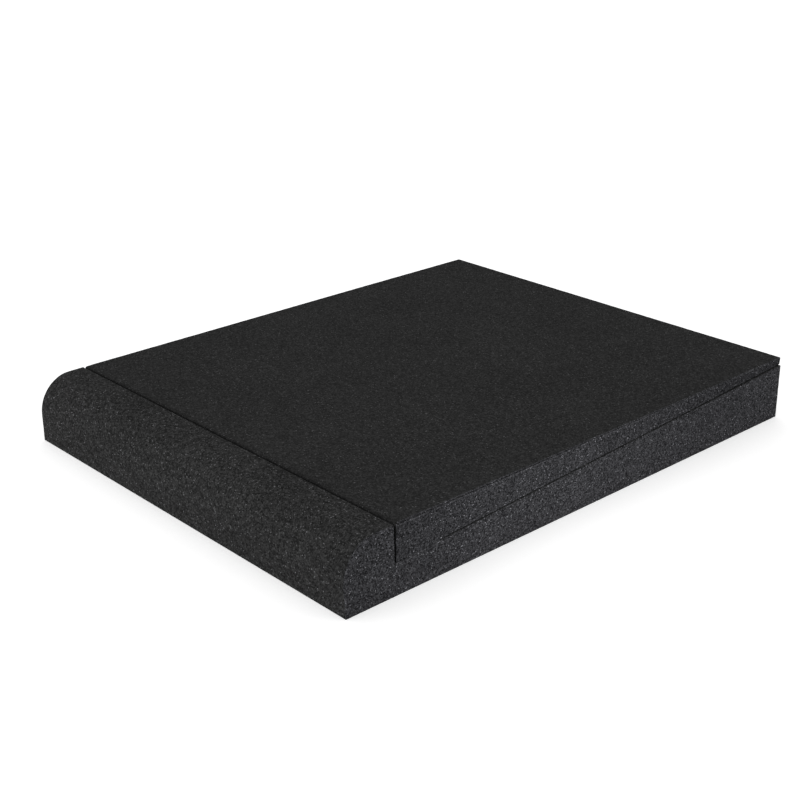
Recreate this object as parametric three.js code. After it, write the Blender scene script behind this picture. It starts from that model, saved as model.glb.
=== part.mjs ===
import * as THREE from 'three';

// Speaker isolation pad, contour-cut from charcoal open-cell foam in two loose pieces: a base
// with a raised, round-nosed front lip, and a wedge that lies in the recess behind the lip and
// brings the top back to one level.
// Millimetres. The origin is the middle of the underside, +X runs across the pad, the lip faces
// -Y and +Z is up.

// The whole pad
const WIDTH = 266;
const DEPTH = 330;
const HEIGHT = 37;

// Front lip, with a quarter ellipse for its nose
const LIP_DEPTH = 29.4;
const NOSE_RUN = 19.7; // back over the top of the lip
const NOSE_RISE = 21.1; // down its front face

// Recess behind the lip, deepest at the lip and as shallow as the wedge's tail at the rear
const STEP_DEPTH = 20;
const WEDGE_TAIL = 4.4;

// Clearances of the wedge in the recess
const LIP_GAP = 1.1;
const BED_GAP = 0.4;

// Cut edges, which this foam leaves slightly round
const EDGE_ROUND = 0.6;
const WALL_SHARE = 0.4; // most of a thin wall that one of its edges may take
const SIDE_SHARE = 0.8; // the side faces are softened less, so that corners keep a curve there

// Fineness of the curves
const NOSE_STEPS = 24;
const EDGE_STEPS = 4;

// Levels and lines that both pieces share, in the side view (Y across, Z up)
const front = -DEPTH / 2;
const rear = DEPTH / 2;
const lipBack = front + LIP_DEPTH;
const wedgeFront = lipBack + LIP_GAP;
const bedFoot = HEIGHT - STEP_DEPTH;
const bedRear = HEIGHT - WEDGE_TAIL - BED_GAP;

// Height of the sloping bed at a place along the depth
function bedHeight(y) {
  return THREE.MathUtils.mapLinear(y, lipBack, rear, bedFoot, bedRear);
}

// Radius of an edge on a wall, which can't be rounder than the wall allows
function edgeOn(wall) {
  return Math.min(EDGE_ROUND, WALL_SHARE * wall);
}

// A corner of a side view. Its curve leaves the side before it and meets the side after it at
// the given distances from the corner, and with no distance the corner is sharp.
function corner(y, z, before = 0, after = before, steps = EDGE_STEPS) {
  return { at: new THREE.Vector2(y, z), before, after, steps };
}

// Joins corners into a closed outline, each one rounded by a quarter ellipse that is tangent to
// both of its sides
function roundedOutline(corners) {
  const points = corners.flatMap(({ at, before, after, steps }, index) => {
    if (before === 0) return [at];
    const last = corners.at(index - 1).at;
    const next = corners[(index + 1) % corners.length].at;
    const back = last.clone().sub(at).setLength(before);
    const ahead = next.clone().sub(at).setLength(after);
    return Array.from({ length: steps + 1 }, (_, step) => {
      const angle = (step / steps) * (Math.PI / 2);
      return at
        .clone()
        .addScaledVector(back, 1 - Math.sin(angle))
        .addScaledVector(ahead, 1 - Math.cos(angle));
    });
  });
  return new THREE.Shape(points);
}

// Runs a side view across the width of the pad, with the edges of both side faces softened
function acrossPad(name, outline, edge, colour) {
  const soft = SIDE_SHARE * edge;
  const geometry = new THREE.ExtrudeGeometry(outline, {
    depth: WIDTH - 2 * soft,
    bevelThickness: soft,
    bevelSize: soft,
    bevelOffset: -soft,
    bevelSegments: EDGE_STEPS,
  });
  const foam = new THREE.MeshStandardMaterial({ color: colour, roughness: 0.95, metalness: 0 });
  const mesh = new THREE.Mesh(geometry, foam);
  mesh.name = name;
  // The side view is drawn in X and Y: this turns X to Y, Y to Z and the extrusion to X
  mesh.quaternion.setFromAxisAngle(new THREE.Vector3(1, 1, 1).normalize(), (2 * Math.PI) / 3);
  mesh.position.x = -WIDTH / 2 + soft;
  return mesh;
}

// Base: block, round-nosed lip, upright step and sloping bed, cut as one piece
function base() {
  const edge = edgeOn(Math.min(LIP_DEPTH - NOSE_RUN, bedFoot));
  const outline = roundedOutline([
    corner(front, 0, edge),
    corner(rear, 0, edge),
    corner(rear, bedRear, edge),
    corner(lipBack, bedFoot),
    corner(lipBack, HEIGHT, edge),
    corner(front, HEIGHT, NOSE_RUN, NOSE_RISE, NOSE_STEPS),
  ]);
  return acrossPad('base', outline, edge, '#343436');
}

// Wedge: lies on the bed, thick end against the lip, level with the lip's top and flush with
// the base at the sides and the rear
function wedgeInsert() {
  const edge = edgeOn(WEDGE_TAIL);
  const outline = roundedOutline([
    corner(wedgeFront, bedHeight(wedgeFront) + BED_GAP, edge),
    corner(rear, HEIGHT - WEDGE_TAIL, edge),
    corner(rear, HEIGHT, edge),
    corner(wedgeFront, HEIGHT, edge),
  ]);
  return acrossPad('wedge_insert', outline, edge, '#323234');
}

const group = new THREE.Group();
group.name = 'speaker_isolation_pad';
group.add(base(), wedgeInsert());

export default group;
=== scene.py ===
import math

import bmesh
import bpy
from mathutils import Matrix, Vector, noise


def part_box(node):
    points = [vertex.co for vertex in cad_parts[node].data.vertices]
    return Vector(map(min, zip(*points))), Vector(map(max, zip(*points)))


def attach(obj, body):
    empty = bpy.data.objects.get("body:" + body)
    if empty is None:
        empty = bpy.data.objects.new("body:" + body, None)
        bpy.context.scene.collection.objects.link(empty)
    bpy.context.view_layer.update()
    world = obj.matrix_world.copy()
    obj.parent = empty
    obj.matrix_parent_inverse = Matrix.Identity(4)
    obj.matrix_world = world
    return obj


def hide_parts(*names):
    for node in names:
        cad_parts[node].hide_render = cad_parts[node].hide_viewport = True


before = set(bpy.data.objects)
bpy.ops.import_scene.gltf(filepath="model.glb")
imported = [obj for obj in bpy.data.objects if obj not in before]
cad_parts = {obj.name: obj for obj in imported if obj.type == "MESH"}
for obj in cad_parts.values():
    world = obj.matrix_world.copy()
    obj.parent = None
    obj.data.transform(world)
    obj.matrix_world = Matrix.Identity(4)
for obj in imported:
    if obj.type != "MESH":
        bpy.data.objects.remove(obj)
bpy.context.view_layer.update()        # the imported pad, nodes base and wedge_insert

mm = 0.001
baseLow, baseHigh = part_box("base")
print("frame loaded, pad", [round(v / mm, 1) for v in baseHigh - baseLow], "mm")


# Camera

photoView = {
    "place": (0.55507, -0.51248, 0.33544),  # metres, in the pad's own frame
    "azimuth": 47.927,  # degrees; 0 looks along +Y
    "elevation": 22.812,
    "roll": -0.536,
    "lens": 64.269,  # mm, for the sensor below
    "sensor": 36.0,
}


def setCamera(view):
    azimuth, elevation = math.radians(view["azimuth"]), math.radians(view["elevation"])
    back = Vector((
        math.sin(azimuth) * math.cos(elevation),
        -math.cos(azimuth) * math.cos(elevation),
        math.sin(elevation),
    ))
    data = bpy.data.cameras.new("photoCamera")
    data.lens, data.sensor_width = view["lens"], view["sensor"]
    data.clip_start, data.clip_end = 0.01, 50
    camera = bpy.data.objects.new("photoCamera", data)
    turn = (-back).to_track_quat("-Z", "Y").to_matrix().to_4x4()
    roll = Matrix.Rotation(math.radians(view["roll"]), 4, "Z")
    camera.matrix_world = Matrix.Translation(view["place"]) @ turn @ roll
    bpy.context.scene.collection.objects.link(camera)
    bpy.context.scene.camera = camera


setCamera(photoView)
print("camera set")


# Nodes and colours

def linear(hexColour):
    parts = [int(hexColour[i:i + 2], 16) / 255 for i in (1, 3, 5)]
    return [p / 12.92 if p <= 0.04045 else ((p + 0.055) / 1.055) ** 2.4 for p in parts] + [1]


# Adds a node; settings are its own properties, links its inputs, each a value or a socket
def addNode(tree, kind, settings=None, links=None):
    node = tree.nodes.new(kind)
    for key, value in (settings or {}).items():
        setattr(node, key, value)
    for key, value in (links or {}).items():
        if isinstance(value, bpy.types.NodeSocket):
            tree.links.new(value, node.inputs[key])
        else:
            node.inputs[key].default_value = value
    return node


def newMaterial(name):
    material = bpy.data.materials.new(name)
    material.use_nodes = True
    material.node_tree.nodes.clear()
    return material, material.node_tree


# Polyurethane foam

# Open-cell polyurethane foam, charcoal. Each cell that the cut opened shows as a black pore or as a
# grey strut that catches the light, so that the face looks grainy, with a few painted glints:
# brighter cells that stand in for struts catching the light. A hot wire left the contour faces
# fine and even; a saw across the block tore the cells of the side faces open, and they stand out
# more.
wireCutBase = {
    "name": "wireCutPolyurethaneFoamBase",
    "pore": "#1a1a1a",
    "strut": "#464646",
    # painted glints: the colour of a few brighter cells that stand in for struts catching the light
    "paintedGlint": "#6e6e70",
    "cell": 0.9,  # mm across the coarse cells, drawn about twice too large to show
    "fineCell": 0.5,
    "paintedGlintShare": 0.03,  # of the fine cells
    "cloud": 0.06,  # share by which the tone drifts over the face
    "bump": 0.15,
    # Painted shade and light along the pad, from and to in mm and the tone at either end: the round
    # nose is painted darker, as shade
    "paintedShades": [(-165, -162.5, 1.0, 0.95), (-157, -147, 1.0, 1.06)],
}
wireCutWedge = dict(
    wireCutBase,
    name="wireCutPolyurethaneFoamWedge",
    pore="#202020",
    strut="#3e3e3e",
    paintedGlint="#5a5a5b",
    paintedShades=[(-134.5, -131, 0.76, 1.0)],  # painted shade: the wedge's top is darker beside the gap at the lip
)
sawnBase = dict(
    wireCutBase,
    name="sawnPolyurethaneFoamBase",
    pore="#101011",
    strut="#57575a",
    paintedGlint="#8c8c91",
    cell=0.7,
    fineCell=0.42,
    bump=0.3,
    # painted shade towards the front of the side faces and painted light towards their rear, where
    # the side lamp falls off
    paintedShades=[(-165, -120, 0.95, 1.0), (50, 130, 1.0, 1.09)],
)
paintedRimHighlight = dict(
    sawnBase,
    name="polyurethaneFoamRimPaintedHighlight",  # a lighter copy of the sawn foam, a painted highlight along the rounded edges of the side faces
    pore="#1c1c1e",
    strut="#5f5f62",
)
sawnWedge = dict(
    sawnBase,
    name="sawnPolyurethaneFoamWedge",
    pore="#0f0f10",
    strut="#525255",
    paintedShades=[(95, 125, 1.0, 0.85)],  # painted shade: the side of the thin tail grows darker
)
cloudSize = 45  # mm, the soft patches of lighter and darker foam
poreDepth = 0.3 * mm
strutPower = 2.0  # a higher one leaves fewer bright struts among the pores
foamRoughness = 0.95


def foamMaterial(foam):
    material, tree = newMaterial(foam["name"])
    place = addNode(tree, "ShaderNodeTexCoord").outputs["Object"]
    millimetres = addNode(tree, "ShaderNodeVectorMath", {"operation": "SCALE"},
                          {0: place, "Scale": 1 / mm}).outputs[0]
    # One random tone for each cell, coarse ones and fine ones together
    cells = addNode(tree, "ShaderNodeTexVoronoi", {"feature": "F1"},
                    {"Vector": millimetres, "Scale": 1 / foam["cell"]})
    fineCells = addNode(tree, "ShaderNodeTexVoronoi", {"feature": "F1"},
                        {"Vector": millimetres, "Scale": 1 / foam["fineCell"]})
    coarseTone = addNode(tree, "ShaderNodeSeparateColor", {}, {"Color": cells.outputs["Color"]})
    fineTone = addNode(tree, "ShaderNodeSeparateColor", {}, {"Color": fineCells.outputs["Color"]})
    coarseStrut = addNode(tree, "ShaderNodeMath", {"operation": "POWER"},
                          {0: coarseTone.outputs["Red"], 1: strutPower})
    fineStrut = addNode(tree, "ShaderNodeMath", {"operation": "POWER"},
                        {0: fineTone.outputs["Red"], 1: strutPower})
    grain = addNode(tree, "ShaderNodeMix", {"data_type": "FLOAT"},
                    {"Factor": 0.5, 2: coarseStrut.outputs[0], 3: fineStrut.outputs[0]})
    tone = addNode(tree, "ShaderNodeMix", {"data_type": "RGBA"},
                   {"Factor": grain.outputs[0], 6: linear(foam["pore"]),
                    7: linear(foam["strut"])})
    # Painted glints: a few cells get a brighter colour, as if their struts faced the light
    paintedGlint = addNode(tree, "ShaderNodeMapRange", {},
                    {"Value": fineTone.outputs["Green"], "From Min": 1 - foam["paintedGlintShare"],
                     "From Max": 1.0})
    grainWithPaintedGlints = addNode(tree, "ShaderNodeMix", {"data_type": "RGBA"},
                       {"Factor": paintedGlint.outputs[0], 6: tone.outputs[2],
                        7: linear(foam["paintedGlint"])})
    cloud = addNode(tree, "ShaderNodeTexNoise", {},
                    {"Vector": millimetres, "Scale": 1 / cloudSize, "Detail": 3.0})
    driftAndPaintedShade = addNode(tree, "ShaderNodeMapRange", {},
                    {"Value": cloud.outputs["Fac"], "From Min": 0.3, "From Max": 0.7,
                     "To Min": 1 - foam["cloud"], "To Max": 1 + foam["cloud"]}).outputs[0]
    # Painted shade and light: the tone is scaled from one place along the pad to another
    for startAt, endAt, startTone, endTone in foam["paintedShades"]:
        along = addNode(tree, "ShaderNodeSeparateXYZ", {}, {"Vector": millimetres})
        paintedShade = addNode(tree, "ShaderNodeMapRange", {"interpolation_type": "SMOOTHSTEP"},
                         {"Value": along.outputs["Y"], "From Min": startAt, "From Max": endAt,
                          "To Min": startTone, "To Max": endTone})
        driftAndPaintedShade = addNode(tree, "ShaderNodeMath", {"operation": "MULTIPLY"},
                        {0: driftAndPaintedShade, 1: paintedShade.outputs[0]}).outputs[0]
    colour = addNode(tree, "ShaderNodeVectorMath", {"operation": "SCALE"},
                     {0: grainWithPaintedGlints.outputs[2], "Scale": driftAndPaintedShade})
    # Pores are hollows between the struts
    bump = addNode(tree, "ShaderNodeBump", {},
                   {"Strength": foam["bump"], "Distance": poreDepth,
                    "Height": cells.outputs["Distance"]})
    # No gloss at all: light that enters the pores doesn't come back as a mirror image
    shader = addNode(tree, "ShaderNodeBsdfPrincipled", {},
                     {"Base Color": colour.outputs[0], "Roughness": foamRoughness,
                      "Specular IOR Level": 0.0, "Normal": bump.outputs[0]})
    addNode(tree, "ShaderNodeOutputMaterial", {}, {"Surface": shader.outputs[0]})
    return material


# Shapes

foamCut = {
    "edge": 0.5 * mm,  # radius of the cut edges
    "sharpEdge": 0.25 * mm,  # where the foam was sawn off crisply
    "shutEdge": 0.12 * mm,  # where two edges lie pressed together
    "edgeSteps": 3,
    "pitch": 1.8 * mm,  # spacing of the mesh, fine enough for the unevenness below
    "unevenness": 0.07 * mm,
    "wave": 4.0 * mm,
    "fineWave": 0.45,  # the finer waves on top: their length and height as shares
    "fineShare": 0.6,
    "near": 2.0 * mm,  # what counts as close to a seam or a corner
    "slack": 0.1 * mm,  # play when a place is compared with a line
    "weld": 0.02 * mm,  # a slice this close to a point goes through it
    "rim": 1.6 * mm,  # reach of the painted rim highlights from the side faces
    "rimDepth": 1.5 * mm,  # and down from the top
}


# One face with the outline of the side view. Corners are (y, z, radius); a nose is an
# elliptical corner, drawn round in a squashed outline that is then stretched back.
def sideView(corners, x, nose=None):
    bm = bmesh.new()
    points = [bm.verts.new((x, y, z)) for y, z, radius in corners]
    bm.faces.new(points)
    if nose:
        squash = nose["run"] / nose["rise"]
        bmesh.ops.scale(bm, vec=(1, 1, squash), verts=bm.verts[:])
        bmesh.ops.bevel(bm, geom=[points[nose["corner"]]], offset=nose["run"],
                        offset_type="OFFSET", affect="VERTICES", segments=nose["steps"],
                        profile=0.5, material=-1)
        bmesh.ops.scale(bm, vec=(1, 1, 1 / squash), verts=bm.verts[:])
    for point, (y, z, radius) in zip(points, corners):
        if radius:
            bmesh.ops.bevel(bm, geom=[point], offset=radius, offset_type="OFFSET",
                            affect="VERTICES", segments=foamCut["edgeSteps"], profile=0.5,
                            material=-1)
    return bm


# Cuts the whole mesh into slices along one axis
def sliceAcross(bm, axis, low, high):
    count = round((high - low) / foamCut["pitch"])
    for i in range(1, count):
        bmesh.ops.bisect_plane(bm, geom=bm.verts[:] + bm.edges[:] + bm.faces[:], dist=foamCut["weld"],
                               plane_co=axis * (low + (high - low) * i / count), plane_no=axis)


# Direction into the foam at each point of the outline, long enough to shift both of its sides
# by one
def inwards(points):
    directions = []
    middle = len(points)
    for i, point in enumerate(points):
        before = (point - points[i - 1]).normalized()
        after = (points[(i + 1) % middle] - point).normalized()
        across = Vector((1, 0, 0)).cross(before + after).normalized()
        share = across.dot(Vector((1, 0, 0)).cross(before))
        directions.append(across / share)
    return directions


# Runs the side view across the pad, rounds both side edges and gives the mesh its pitch. The
# radius of a side edge depends on where it is.
def runAcross(bm, width, sideRadius):
    outline = bm.faces[:][0]
    points = [vert.co.copy() for vert in outline.verts]
    left = points[0].x
    area = sum(points[i - 1].y * point.z - points[i - 1].z * point.y
               for i, point in enumerate(points))
    turn = 1 if area > 0 else -1
    directions = [direction * turn for direction in inwards(points)]
    radii = {"right": [sideRadius(point.y, point.z) for point in points]}
    radii["left"] = [min(radius, foamCut["edge"]) for radius in radii["right"]]
    steps = foamCut["edgeSteps"]
    quarter = [step / steps * math.pi / 2 for step in range(steps + 1)]
    rings = [("left", angle) for angle in quarter] + [("right", angle) for angle in quarter[::-1]]
    verts = list(outline.verts)
    for index, (side, angle) in enumerate(rings):
        if index:
            grown = bmesh.ops.extrude_face_region(bm, geom=[outline])["geom"]
            outline = next(part for part in grown if isinstance(part, bmesh.types.BMFace))
            verts = list(outline.verts)
            if (verts[0].co - previous[0]).length > 1e-9:
                offset = min(range(len(verts)), key=lambda i: (verts[i].co - previous[0]).length)
                verts = verts[offset:] + verts[:offset]
            if (verts[1].co - previous[1]).length > 1e-9:
                verts = verts[:1] + verts[:0:-1]
        for vert, point, direction, radius in zip(verts, points, directions, radii[side]):
            inset = radius * (1 - math.sin(angle))
            back = radius * (1 - math.cos(angle))
            x = left + back if side == "left" else left + width - back
            vert.co = point + direction * inset
            vert.co.x = x
        previous = [vert.co.copy() for vert in verts]
    bmesh.ops.recalc_face_normals(bm, faces=bm.faces[:])
    heights = [vert.co.z for vert in bm.verts]
    depths = [vert.co.y for vert in bm.verts]
    sliceAcross(bm, Vector((0, 1, 0)), min(depths), max(depths))
    sliceAcross(bm, Vector((0, 0, 1)), min(heights), max(heights))
    along = [edge for edge in bm.edges
             if abs(edge.verts[0].co.x - edge.verts[1].co.x) > width / 2]
    bmesh.ops.subdivide_edges(bm, edges=along, cuts=round(width / foamCut["pitch"]),
                              use_grid_fill=True)


# Foam is never quite flat: the cut wavers by a few hundredths, apart from where the pad stands
def waver(bm):
    bm.normal_update()
    for vert in bm.verts:
        lift = min(vert.co.z / mm, 1)
        size = noise.noise(vert.co / foamCut["wave"])
        fine = vert.co / (foamCut["fineWave"] * foamCut["wave"]) + Vector((31, 7, 12))
        size += foamCut["fineShare"] * noise.noise(fine)
        vert.co += vert.normal * size * foamCut["unevenness"] * lift


# How far the seam has opened at a place along the pad: near the step the two cuts lie pressed
# together, and the seam can't be seen from the side
def opened(y):
    shut, free = baseCut["pressed"]
    return max(0, min(1, (y - lipBack - shut) / (free - shut)))


def pressSeam(bm):
    half = baseCut["bedGap"] / 2
    reach = foamCut["near"]
    for vert in bm.verts:
        above = vert.co.z - bedFoot - bedSlope * (vert.co.y - lipBack) - half
        side = width / 2 - abs(vert.co.x)
        if vert.co.y < lipBack - foamCut["slack"] or abs(above) > reach:
            continue
        if side > baseCut["pressedReach"]:
            continue
        near = 1 - (abs(above) - half) / (reach - half)
        shift = baseCut["pressedShare"] * half * near * (1 - opened(vert.co.y))
        vert.co.z -= math.copysign(shift, above)


# At both side faces the wedge bulges towards the lip, so that the cut between them is narrower
# there, and its tail is drawn in
def easeWedge(bm):
    reach, amount = wedgeCut["bulge"]
    length, most = wedgeCut["drawnIn"]
    for vert in bm.verts:
        towardsEnd = max(0, 1 - (rear - vert.co.y) / length)
        vert.co.x *= 1 - most / (width / 2) * towardsEnd
        side = width / 2 - abs(vert.co.x)
        if vert.co.y < wedgeFront + foamCut["near"] and side < reach:
            near = 1 - max(0, vert.co.y - wedgeFront) / foamCut["near"]
            vert.co.y -= amount * near * (1 - side / reach)


# The lighter rim copy, a painted highlight, goes on the upper edges of the side faces, apart from the
# lip's level top
def paintedRimHighlightAt(y, z):
    if y < lipBack - foamCut["near"]:
        return mm < z < top - mm
    return y > wedgeFront and z > top - foamCut["rimDepth"]


def finishPiece(bm, name, node, contour, sawn):
    pressSeam(bm)
    bm.normal_update()
    for face in bm.faces:
        middle = face.calc_center_median()
        side = width / 2 - abs(middle.x)
        # Rounded side edges within reach get the rim copy with its painted highlight
        atRim = 0.07 < abs(face.normal.x) < 0.99 and side < foamCut["rim"]
        sawnFace = abs(face.normal.x) > 0.4
        face.material_index = 2 if atRim and paintedRimHighlightAt(middle.y, middle.z) else 1 if sawnFace else 0
        face.smooth = True
    waver(bm)
    mesh = bpy.data.meshes.new(name)
    bm.to_mesh(mesh)
    bm.free()
    mesh.materials.append(foamMaterial(contour))
    mesh.materials.append(foamMaterial(sawn))
    mesh.materials.append(foamMaterial(dict(paintedRimHighlight, name=paintedRimHighlight["name"] + name[4:])))
    piece = bpy.data.objects.new(name, mesh)
    bpy.context.scene.collection.objects.link(piece)
    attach(piece, "root")
    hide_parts(node)
    mesh.calc_loop_triangles()
    print(name, "made,", len(mesh.loop_triangles), "triangles")
    return piece


# Base

baseCut = {
    "lipDepth": 29.4 * mm,
    "lipGap": 1.1 * mm,  # between the lip and the wedge
    "bedGap": 0.38 * mm,  # between the bed and the wedge
    "stepDepth": 20.0 * mm,
    "noseRun": 19.7 * mm,  # back over the lip
    "noseRise": 21.1 * mm,  # down the front
    "noseSteps": 20,
    "tail": 4.4 * mm,  # thickness of the wedge at the rear
    "pressed": (27.0 * mm, 35.0 * mm),  # from the lip: shut up to here, open from here on
    "pressedReach": 0.6 * mm,  # in from the side faces
    "pressedShare": 0.9,  # of the gap that is closed there
    "frontEdge": 1.2 * mm,  # radius of the side edges of the front and the nose
    "lipEdge": 0.8 * mm,  # at the back of the lip's top
    "lipTopEdge": 0.8 * mm,  # where the lip's top meets the side faces
    "bedEdge": 0.5 * mm,  # where the bed meets the side faces
}
front, rear, top = baseLow.y, baseHigh.y, baseHigh.z
width = baseHigh.x - baseLow.x
lipBack = front + baseCut["lipDepth"]
wedgeFront = lipBack + baseCut["lipGap"]
bedFoot = top - baseCut["stepDepth"]
bedRear = top - baseCut["tail"] - baseCut["bedGap"]
bedSlope = (bedRear - bedFoot) / (rear - lipBack)


# Places where the outline of both pieces gets a point of its own, to open the seam between them
def seamPoints(lift):
    return [(lipBack + reach, bedFoot + bedSlope * reach + lift, 0)
            for reach in baseCut["pressed"]]


def seamRadius(y, free):
    return foamCut["shutEdge"] + (free - foamCut["shutEdge"]) * opened(y)


def baseSideRadius(y, z):
    if z < mm:
        return foamCut["sharpEdge"]
    if y < lipBack - foamCut["near"]:
        return baseCut["frontEdge"]
    if z < bedRear + foamCut["slack"] and y < rear - foamCut["near"] and z > bedFoot - mm:
        return seamRadius(y, baseCut["bedEdge"])
    if y < lipBack - baseCut["lipEdge"]:
        return baseCut["lipTopEdge"]
    if y < rear - foamCut["near"]:
        return foamCut["edge"]
    return foamCut["sharpEdge"]


def makeBase():
    sharp = foamCut["sharpEdge"]
    corners = [
        (front, 0, sharp), (rear, 0, sharp), (rear, bedRear, sharp), *seamPoints(0)[::-1],
        (lipBack, bedFoot, 0), (lipBack, top, baseCut["lipEdge"]), (front, top, 0),
    ]
    nose = {"corner": 7, "run": baseCut["noseRun"], "rise": baseCut["noseRise"],
            "steps": baseCut["noseSteps"]}
    bm = sideView(corners, baseLow.x, nose)
    runAcross(bm, width, baseSideRadius)
    return finishPiece(bm, "foamBase", "base", wireCutBase, sawnBase)


makeBase()


# Wedge

wedgeCut = {
    "frontEdge": 1.0 * mm,  # at the front of the wedge's top
    "sag": (4.0 * mm, 0.15 * mm),  # its top dips a little towards the lip: run and drop
    "drawnIn": (90.0 * mm, 0.5 * mm),  # its thin tail is drawn in at the sides: length and amount
    "bulge": (6.0 * mm, 0.28 * mm),  # reach from the side faces and amount
    "underEdge": 1.1 * mm,  # where its underside meets the side faces
    "topEdge": 1.4 * mm,  # where its top meets the side faces
    "topBand": 2.5 * mm,  # depth below the top that belongs to the top's edges
}


def wedgeSideRadius(y, z):
    if y < wedgeFront + foamCut["edge"]:
        return foamCut["edge"]
    if z > top - wedgeCut["topBand"]:
        return wedgeCut["topEdge"] if y < rear - mm else foamCut["edge"]
    return seamRadius(y, wedgeCut["underEdge"])


def makeWedge():
    edge = foamCut["edge"]
    run, drop = wedgeCut["sag"]
    foot = bedFoot + bedSlope * baseCut["lipGap"] + baseCut["bedGap"]
    corners = [
        (wedgeFront, foot, edge), *seamPoints(baseCut["bedGap"]),
        (rear, top - baseCut["tail"], edge), (rear, top, foamCut["sharpEdge"]),
        (wedgeFront + run, top, 0), (wedgeFront, top - drop, wedgeCut["frontEdge"]),
    ]
    bm = sideView(corners, baseLow.x)
    runAcross(bm, width, wedgeSideRadius)
    easeWedge(bm)
    return finishPiece(bm, "foamWedge", "wedge_insert", wireCutWedge, sawnWedge)


makeWedge()


# Studio

studio = {
    "white": "#ffffff",
    "paper": 0.85,  # share of the light that the floor gives back
    "floorGlow": 0.42,  # keeps the floor white round a pale shadow
    "floorSize": 12.0,  # metres
    "fade": (0.3, 1.0),  # metres from the pad over which the glow grows to plain white
    "ambient": 0.82,
}


# White for the camera and for gloss, plain soft light for everything else
def setWorld():
    world = bpy.data.worlds.new("whiteRoom")
    bpy.context.scene.world = world
    world.use_nodes = True
    tree = world.node_tree
    tree.nodes.clear()
    path = addNode(tree, "ShaderNodeLightPath")
    seen = addNode(tree, "ShaderNodeMath", {"operation": "MAXIMUM"},
                   {0: path.outputs["Is Camera Ray"], 1: path.outputs["Is Glossy Ray"]})
    clear = addNode(tree, "ShaderNodeMath", {"operation": "MAXIMUM"},
                    {0: seen.outputs[0], 1: path.outputs["Is Transmission Ray"]})
    strength = addNode(tree, "ShaderNodeMapRange", {},
                       {"Value": clear.outputs[0], "To Min": studio["ambient"], "To Max": 1.0})
    glow = addNode(tree, "ShaderNodeBackground", {},
                   {"Color": linear(studio["white"]), "Strength": strength.outputs[0]})
    addNode(tree, "ShaderNodeOutputWorld", {}, {"Surface": glow.outputs[0]})


def makeFloor():
    material, tree = newMaterial("whitePaperSweep")
    path = addNode(tree, "ShaderNodeLightPath")
    seen = addNode(tree, "ShaderNodeMath", {"operation": "MAXIMUM"},
                   {0: path.outputs["Is Camera Ray"], 1: path.outputs["Is Glossy Ray"]})
    clear = addNode(tree, "ShaderNodeMath", {"operation": "MAXIMUM"},
                    {0: seen.outputs[0], 1: path.outputs["Is Transmission Ray"]})
    place = addNode(tree, "ShaderNodeTexCoord").outputs["Object"]
    reach = addNode(tree, "ShaderNodeVectorMath", {"operation": "LENGTH"}, {0: place})
    startAt, endAt = studio["fade"]
    fade = addNode(tree, "ShaderNodeMapRange", {"interpolation_type": "SMOOTHSTEP"},
                   {"Value": reach.outputs["Value"], "From Min": startAt, "From Max": endAt,
                    "To Min": studio["floorGlow"], "To Max": 1.0})
    strength = addNode(tree, "ShaderNodeMath", {"operation": "MULTIPLY"},
                       {0: clear.outputs[0], 1: fade.outputs[0]})
    glow = addNode(tree, "ShaderNodeEmission", {},
                   {"Color": linear(studio["white"]), "Strength": strength.outputs[0]})
    paper = addNode(tree, "ShaderNodeBsdfDiffuse", {},
                    {"Color": [studio["paper"]] * 3 + [1]})
    both = addNode(tree, "ShaderNodeAddShader", {}, {0: paper.outputs[0], 1: glow.outputs[0]})
    addNode(tree, "ShaderNodeOutputMaterial", {}, {"Surface": both.outputs[0]})
    bm = bmesh.new()
    bmesh.ops.create_grid(bm, x_segments=1, y_segments=1, size=studio["floorSize"] / 2)
    mesh = bpy.data.meshes.new("floor")
    bm.to_mesh(mesh)
    bm.free()
    mesh.materials.append(material)
    floor = bpy.data.objects.new("floor", mesh)
    bpy.context.scene.collection.objects.link(floor)


# Soft boxes: level is what a white card facing one would render at
softBoxes = {
    "frontLeft": {"from": (-0.4, -0.86, 0.1), "away": 1.2, "size": (0.9, 0.3), "level": 0.36},
    "sideRight": {"from": (1.0, -0.1, 0.1), "away": 0.3, "size": (0.1, 0.06), "level": 0.14},
    "fillRear": {"from": (-0.65, 0.65, 0.55), "away": 2.0, "size": (1.4, 1.0), "level": 0.08},
}


def makeSoftBox(name, box):
    data = bpy.data.lights.new(name, "AREA")
    data.shape = "RECTANGLE"
    data.size, data.size_y = box["size"]
    data.energy = box["level"] * (math.pi * box["away"]) ** 2
    lamp = bpy.data.objects.new(name, data)
    lamp.visible_camera = False
    direction = Vector(box["from"]).normalized()
    turn = direction.to_track_quat("Z", "Y").to_matrix().to_4x4()
    lamp.matrix_world = Matrix.Translation(direction * box["away"]) @ turn
    bpy.context.scene.collection.objects.link(lamp)


setWorld()
makeFloor()
for name, box in softBoxes.items():
    makeSoftBox(name, box)
bpy.context.scene.view_settings.view_transform = "Standard"
print("studio set")
